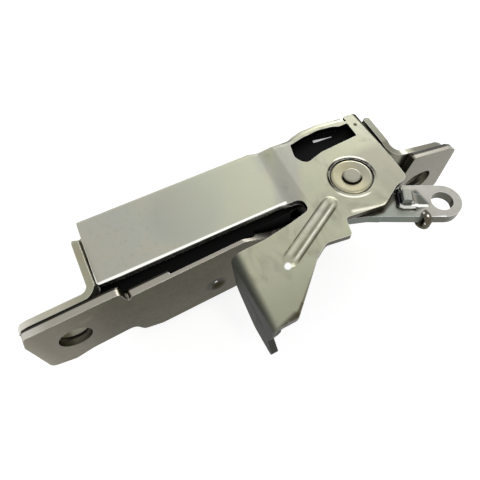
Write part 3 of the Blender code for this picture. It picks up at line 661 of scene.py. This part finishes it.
FRONT_MARKS = [
    (left_of(-16.0, 4.0), rgb(116, 111, 98), 0.8),
    (left_of(-25.0, -17.0), rgb(150, 145, 131), 0.8),
    (right_of(86.0, 93.0), rgb(124, 121, 109), 0.9),
    (dimple, rgb(38, 33, 22), 0.85),
    (pit(DIMPLE_GLINT, 0.75), rgb(250, 250, 244), 1.0),
    (top_strip_light, rgb(160, 155, 144), 0.9),
    (on_top(right_of(93.0, 95.0)), rgb(138, 135, 124), 0.95),
    (left_edges, rgb(242, 242, 234), 0.9),
    # A painted highlight on top of the left ear's end.
    (on_top(left_of(-20.5, -12.0)), rgb(216, 215, 206), 0.6),
    (hole_wall, rgb(84, 80, 68), 0.8),
    (crack_front_shade, rgb(20, 17, 12), 0.95),
]
dress("front_plate", zinc("front_zinc", *SHADED_BROWN, 0.36, marks=FRONT_MARKS))

# Release lever

BRIGHT = (rgb(160, 160, 152), rgb(164, 160, 148), DARK)

# The cover's painted shadow on the lever, and painted highlights along the rubbed near edge up to the
# clip and beyond it.
SHADE_LEFT, SHADE_MIDDLE, SHADE_RIGHT = (70.0, -9.2), (78.7, -10.5), (85.6, -8.2)
EDGE_START, EDGE_CLIP = (78.6, -13.7), (87.6, -18.6)
SHINE_CLIP, SHINE_EYE = (88.6, -19.1), (92.6, -20.9)

lever_left = left_of(85.0, 88.5)


def lever_side(s):
    """The sheared near side of the lever, where it lies in the cover's shade."""
    return s.times(steep(s), lever_left(s))


def tab_shade(s):
    """The dark green reflection beside the tab."""
    return inside(s, 0.6, x=(86.6, 91.6), y=(-15.6, -9.5), z=(None, 0.3))


def tab_line(s):
    """The bright lower line of that reflection."""
    return s.fade(s.distance((86.9, -13.6, 0), (90.7, -15.5, 0), PLAN), 0.25, 0.6)


LEVER_MARKS = [
    (right_of(88.0, 93.0), rgb(172, 170, 164), 0.7),
    # Painted shade on the lever's upright and downward faces.
    (steep, rgb(70, 69, 60), 0.88),
    (lever_left, rgb(142, 150, 141), 0.7),
    (stroke(SHADE_LEFT, SHADE_MIDDLE, 0.5, 1.5), rgb(64, 58, 44), 0.82),
    (stroke(SHADE_MIDDLE, SHADE_RIGHT, 0.5, 1.5), rgb(64, 58, 44), 0.82),
    (tab_shade, rgb(72, 78, 72), 0.9),
    (tab_line, rgb(248, 248, 242), 0.9),
    (thin_edges, rgb(236, 237, 232), 0.8),
    (stroke(SHINE_CLIP, SHINE_EYE, 0.2, 0.6), rgb(255, 255, 252), 0.9),
    (stroke(EDGE_START, EDGE_CLIP, 0.1, 0.45), rgb(226, 227, 220), 0.8),
]
dress("release_lever", zinc("lever_zinc", *BRIGHT, 0.3, dull=lever_side, marks=LEVER_MARKS))

# Pivot rivet

BRASSY = (rgb(164, 161, 136), rgb(158, 152, 126), DARK)
BOSS_R = 2.8


def head_boss(s):
    return s.fade(from_pivot(s), BOSS_R - 0.3, BOSS_R + 0.1)


def head_shade(s):
    """The dark crescent where the boss's near side turns away."""
    return s.times(band(s, from_pivot(s), BOSS_R, 0.4), s.ramp(towards_viewer(s), -0.9, 0.9))


HEAD_MARKS = [
    # Painted shade on the right side of the rivet head.
    (right_of(PIVOT.x + 0.5, PIVOT.x + 4.5), rgb(144, 143, 130), 0.75),
    (head_boss, rgb(140, 138, 126), 0.9),
    (head_shade, rgb(16, 13, 8), 1.0),
]
dress("pivot_rivet", zinc("rivet_zinc", *BRASSY, 0.38, marks=HEAD_MARKS))

# Pins, rivets, and the pieces behind the front plate, their zinc painted dark as shade

YELLOWED = (rgb(165, 162, 140), rgb(160, 150, 122), DARK)
ZINC_IN_SHADE = (rgb(56, 54, 47), rgb(48, 45, 37), rgb(28, 26, 21))

for name in ("pawl_pin", "spring_washer", "flange_rivet_left", "flange_rivet_right"):
    dress(name, zinc(name + "_zinc", *YELLOWED, 0.34))
for name in ("inner_plate", "pawl", "catch", "catch_pin"):
    dress(name, zinc(name + "_zinc", *ZINC_IN_SHADE, 0.45))

# Springs and the wire clip

WIRE = (rgb(44, 42, 43), rgb(36, 34, 34), rgb(14, 13, 13))
OILED_WIRE = (rgb(90, 86, 73), rgb(78, 73, 60), rgb(26, 24, 20))

# Glints on the clip's top, on its upper end and on its near bend.
CLIP_TOP, CLIP_END, CLIP_BEND = (87.5, -18.9, 1.5), (87.0, -17.7, 1.6), (87.0, -19.6, -1.4)


def spring_leg_highlight(s):
    """Painted highlight on the leg of the lever's spring, beside the tab."""
    return inside(s, 0.4, x=(82.0, None), y=(None, -12.0), z=(-0.3, None))


def clip_bend_highlights(s):
    """Painted highlights in patches on the bends of the clip."""
    return s.times(s.edges(0.9, 0.2, 0.9), s.patches(1.6, 0.4, 0.55))


LEG_MARKS = [(spring_leg_highlight, rgb(214, 214, 208), 0.9)]
CLIP_MARKS = [
    (clip_bend_highlights, rgb(225, 225, 220), 0.7),
    (pit(CLIP_TOP, 0.4), rgb(250, 250, 246), 0.9),
    (pit(CLIP_END, 0.4), rgb(240, 240, 236), 0.7),
    (pit(CLIP_BEND, 0.35), rgb(240, 240, 236), 0.8),
]
for name in ("catch_spring", "pawl_spring"):
    dress(name, zinc(name + "_wire", *WIRE, 0.2))
dress("lever_spring", zinc("lever_spring_wire", *WIRE, 0.2, marks=LEG_MARKS))
dress("spring_clip", zinc("spring_clip_wire", *OILED_WIRE, 0.28, marks=CLIP_MARKS))

# Black moulding and rubber

GLINT_LEFT, GLINT_RIGHT = Vector((76.4, 20.4, 0.0)), Vector((81.9, 19.4, 0.0))


def window_glint(s):
    """A painted glint seen in the window, which narrows to the right."""
    along = s.ramp(s.axis("X"), GLINT_LEFT.x - 0.4, GLINT_RIGHT.x - 0.4)
    width = s.minus(0.55, s.times(along, 0.35))
    return s.ramp(s.minus(width, s.distance(GLINT_LEFT, GLINT_RIGHT, PLAN)), 0.0, 0.15)


MOULDING_MARKS = [(window_glint, rgb(255, 255, 255), 1.0)]
dress("inner_cover", dull_black("inner_cover_moulding", rgb(4, 4, 4), 0.6, MOULDING_MARKS))
dress("stop_buffer", dull_black("buffer_rubber", rgb(26, 26, 26), 0.7))

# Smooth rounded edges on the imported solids

# Lengths in mm and angles in degrees.
WELD_REACH = 0.004
FLAT_ANGLE = 0.6
EDGE_ANGLE = 38
EDGE_SEGMENTS = 3
SOFT_ANGLE = 32
USUAL_ROUNDING = 0.3
ROUNDING = {"cover_plate": 0.45, "release_lever": 0.4}


def soft_shading():
    """Geometry nodes that shade smoothly across every edge under SOFT_ANGLE degrees."""
    group = bpy.data.node_groups.new("soft_shading", "GeometryNodeTree")
    group.interface.new_socket("Geometry", in_out="INPUT", socket_type="NodeSocketGeometry")
    group.interface.new_socket("Geometry", in_out="OUTPUT", socket_type="NodeSocketGeometry")
    add = group.nodes.new
    first, last = add("NodeGroupInput"), add("NodeGroupOutput")
    faces = add("GeometryNodeSetShadeSmooth")
    edges = add("GeometryNodeSetShadeSmooth")
    edges.domain = "EDGE"
    angle = add("GeometryNodeInputMeshEdgeAngle")
    under = add("FunctionNodeCompare")
    under.operation = "LESS_THAN"
    under.inputs[1].default_value = math.radians(SOFT_ANGLE)
    link = group.links.new
    link(first.outputs[0], faces.inputs[0])
    link(faces.outputs[0], edges.inputs[0])
    link(angle.outputs["Unsigned Angle"], under.inputs[0])
    link(under.outputs[0], edges.inputs["Shade Smooth"])
    link(edges.outputs[0], last.inputs[0])
    return group


def soften(node, width, shading):
    """Welds the solid and smooths its shading. A width in mm, unless it is 0, rounds its sharp edges."""
    weld = node.modifiers.new("weld", "WELD")
    weld.merge_threshold = WELD_REACH * MM
    if width:
        flat = node.modifiers.new("flat", "DECIMATE")
        flat.decimate_type = "DISSOLVE"
        flat.angle_limit = math.radians(FLAT_ANGLE)
        bevel = node.modifiers.new("edge", "BEVEL")
        bevel.width = width * MM
        bevel.segments = EDGE_SEGMENTS
        bevel.limit_method = "ANGLE"
        bevel.angle_limit = math.radians(EDGE_ANGLE)
        bevel.miter_outer = "MITER_ARC"
        bevel.harden_normals = False
    shade = node.modifiers.new("shade", "NODES")
    shade.node_group = shading
    if width:
        finish = node.modifiers.new("normals", "WEIGHTED_NORMAL")
        finish.keep_sharp = True


SHADING = soft_shading()

for name, node in NODES.items():
    is_wire = name.endswith("_spring") or name == "spring_clip"
    soften(node, 0 if is_wire else ROUNDING.get(name, USUAL_ROUNDING), SHADING)

# Camera

CAMERA_PLACE = (14.76, -55.25, 103.85)
CAMERA_RIGHT = Vector((0.8825, -0.4685, -0.0406))
CAMERA_DOWN = Vector((-0.4232, -0.7535, -0.5032))
LENS, SENSOR = 33.0, 36


def camera():
    """The photograph's camera, solved from the straight edges of the front plate and cover."""
    data = bpy.data.cameras.new("camera")
    data.sensor_width = SENSOR
    data.lens = LENS
    data.clip_start = 0.005
    obj = bpy.data.objects.new("camera", data)
    right, up = CAMERA_RIGHT.normalized(), -CAMERA_DOWN.normalized()
    turn = Matrix((right, up, right.cross(up))).transposed().to_4x4()
    obj.matrix_world = Matrix.Translation(at(*CAMERA_PLACE)) @ turn
    bpy.context.scene.collection.objects.link(obj)
    bpy.context.scene.camera = obj


# Floor and light

FLOOR_HALF = 4.0
FLOOR_GAP = 0.1
FLOOR_GREY = (0.58, 0.58, 0.58, 1)
FLOOR_GLOW = 0.74
WORLD_FILL = 0.45
KEY = {"place": (0.95, 0.85, 0.42), "size": 0.8, "watts": 10.0}
TOP = {"place": (0.1, -0.75, 0.75), "size": 0.35, "watts": 2.2}


def seen(tree):
    """1 for rays that show the background itself: seen by the camera, in metal or through glass."""
    path = tree.nodes.new("ShaderNodeLightPath")
    total = path.outputs["Is Camera Ray"]
    for kind in ("Is Glossy Ray", "Is Transmission Ray"):
        node = tree.nodes.new("ShaderNodeMath")
        node.operation = "MAXIMUM"
        tree.links.new(total, node.inputs[0])
        tree.links.new(path.outputs[kind], node.inputs[1])
        total = node.outputs[0]
    return total


def floor():
    """A wide sheet of pale paper just under the part, which shows white to the camera."""
    half, z = FLOOR_HALF, CAD_BOX[0].z - FLOOR_GAP * MM
    mesh = bpy.data.meshes.new("floor")
    corners = [(-half, -half, z), (half, -half, z), (half, half, z), (-half, half, z)]
    mesh.from_pydata(corners, [], [(0, 1, 2, 3)])
    obj = bpy.data.objects.new("floor", mesh)
    bpy.context.scene.collection.objects.link(obj)
    mat = bpy.data.materials.new("floor_paper")
    mat.use_nodes = True
    tree = mat.node_tree
    shader = tree.nodes["Principled BSDF"]
    shader.inputs["Base Color"].default_value = FLOOR_GREY
    shader.inputs["Roughness"].default_value = 0.9
    shader.inputs["Specular IOR Level"].default_value = 0.1
    shader.inputs["Emission Color"].default_value = (1, 1, 1, 1)
    glow = tree.nodes.new("ShaderNodeMath")
    glow.operation = "MULTIPLY"
    tree.links.new(seen(tree), glow.inputs[0])
    glow.inputs[1].default_value = FLOOR_GLOW
    tree.links.new(glow.outputs[0], shader.inputs["Emission Strength"])
    mesh.materials.append(mat)


def world():
    """White surroundings, weaker as a light than as a picture."""
    data = bpy.data.worlds.new("studio")
    bpy.context.scene.world = data
    data.use_nodes = True
    tree = data.node_tree
    ground = tree.nodes["Background"]
    ground.inputs["Color"].default_value = (1, 1, 1, 1)
    strength = tree.nodes.new("ShaderNodeMapRange")
    tree.links.new(seen(tree), strength.inputs["Value"])
    strength.inputs["To Min"].default_value = WORLD_FILL
    strength.inputs["To Max"].default_value = 1.0
    tree.links.new(strength.outputs["Result"], ground.inputs["Strength"])


def lamp(name, place, size, watts):
    """A square soft lamp aimed at the part."""
    data = bpy.data.lights.new(name, "AREA")
    data.shape = "SQUARE"
    data.size = size
    data.energy = watts
    obj = bpy.data.objects.new(name, data)
    obj.location = place
    obj.rotation_euler = (-Vector(place)).to_track_quat("-Z", "Y").to_euler()
    bpy.context.scene.collection.objects.link(obj)


camera()
floor()
world()
lamp("key", **KEY)
lamp("top", **TOP)

bpy.context.scene.view_settings.view_transform = "Standard"
